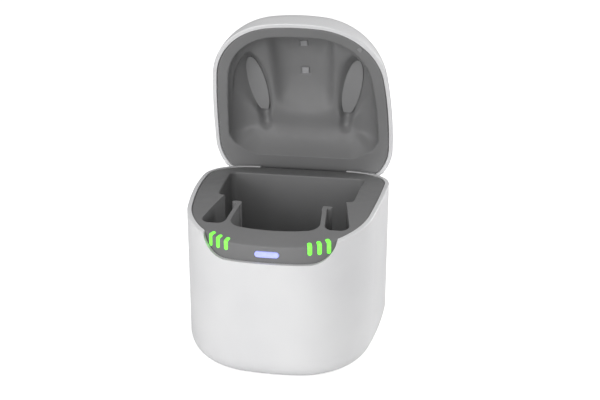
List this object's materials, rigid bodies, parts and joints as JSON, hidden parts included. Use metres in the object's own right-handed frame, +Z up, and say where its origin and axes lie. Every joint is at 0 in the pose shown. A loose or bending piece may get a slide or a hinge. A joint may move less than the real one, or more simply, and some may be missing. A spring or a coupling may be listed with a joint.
{
  "type": "hearing aid dryer",
  "caption": "Bucket-shaped hearing aid dryer with a domed hinged lid, a drying cavity, side wells, a start button and green light bars.",
  "frame": {"origin": "centre of the footprint, on the surface the object stands on", "axes": "+Z up, front with the start button towards -Y, +X to the right seen from the front"},
  "size_m": [0.092, 0.1119, 0.1536],
  "materials": {
    "white_shell": "satin white, fine grain",
    "grey_plastic": "fine matt texture",
    "grey_pad": "soft matt",
    "green_light": "lit, frosted",
    "button_light": "lit, frosted",
    "cover_grey": "matt",
    "rubber": "matt",
    "steel": "bright",
    "circuit_board": "solder mask",
    "component_black": "matt",
    "aluminium": "rolled",
    "film_amber": "translucent film",
    "copper": "enamelled copper wire",
    "led_white": "clear",
    "uv_window": "frosted"
  },
  "bodies": {
    "base": {"base_cover": "cover_grey", "base_pad": "rubber", "base_shell": "white_shell", "board_components": "component_black", "board_screws": "steel", "charging_coil_left": "copper", "charging_coil_right": "copper", "heat_spreader": "aluminium", "heater_film": "film_amber", "heater_ribbon": "film_amber", "hinge_pin": "steel", "indicator_leds": "led_white", "indicator_ribbon": "film_amber", "indicator_strip": "circuit_board", "inner_tray": "grey_plastic", "lid_sensor": "component_black", "light_bar_left_1": "green_light", "light_bar_left_2": "green_light", "light_bar_left_3": "green_light", "light_bar_right_1": "green_light", "light_bar_right_2": "green_light", "light_bar_right_3": "green_light", "main_board": "circuit_board", "power_socket": "steel", "start_switch": "component_black", "temperature_sensor": "component_black", "tray_screws": "steel"},
    "lid": {"lid_shell": "white_shell", "lid_liner": "grey_plastic", "hinge_leaf": "grey_plastic", "leaf_screws": "steel", "holding_pad_left": "grey_pad", "holding_pad_right": "grey_pad", "rest_pad": "grey_pad", "lid_magnet": "steel", "uv_window_front": "uv_window", "uv_window_rear": "uv_window", "uv_board_front": "circuit_board", "uv_board_rear": "circuit_board"},
    "start_button": {"start_button": "button_light"}
  },
  "joints": [
    {"name": "lid_hinge", "type": "hinge", "parent": "base", "child": "lid", "pos_m": [0, 0.0406, 0.067], "axis": [1, 0, 0], "range_deg": [0, 76]},
    {"name": "start_button_press", "type": "slide", "parent": "base", "child": "start_button", "axis": [0, 1, 0], "range_m": [0, 0.0004], "stiffness_N_per_m": 400}
  ]
}
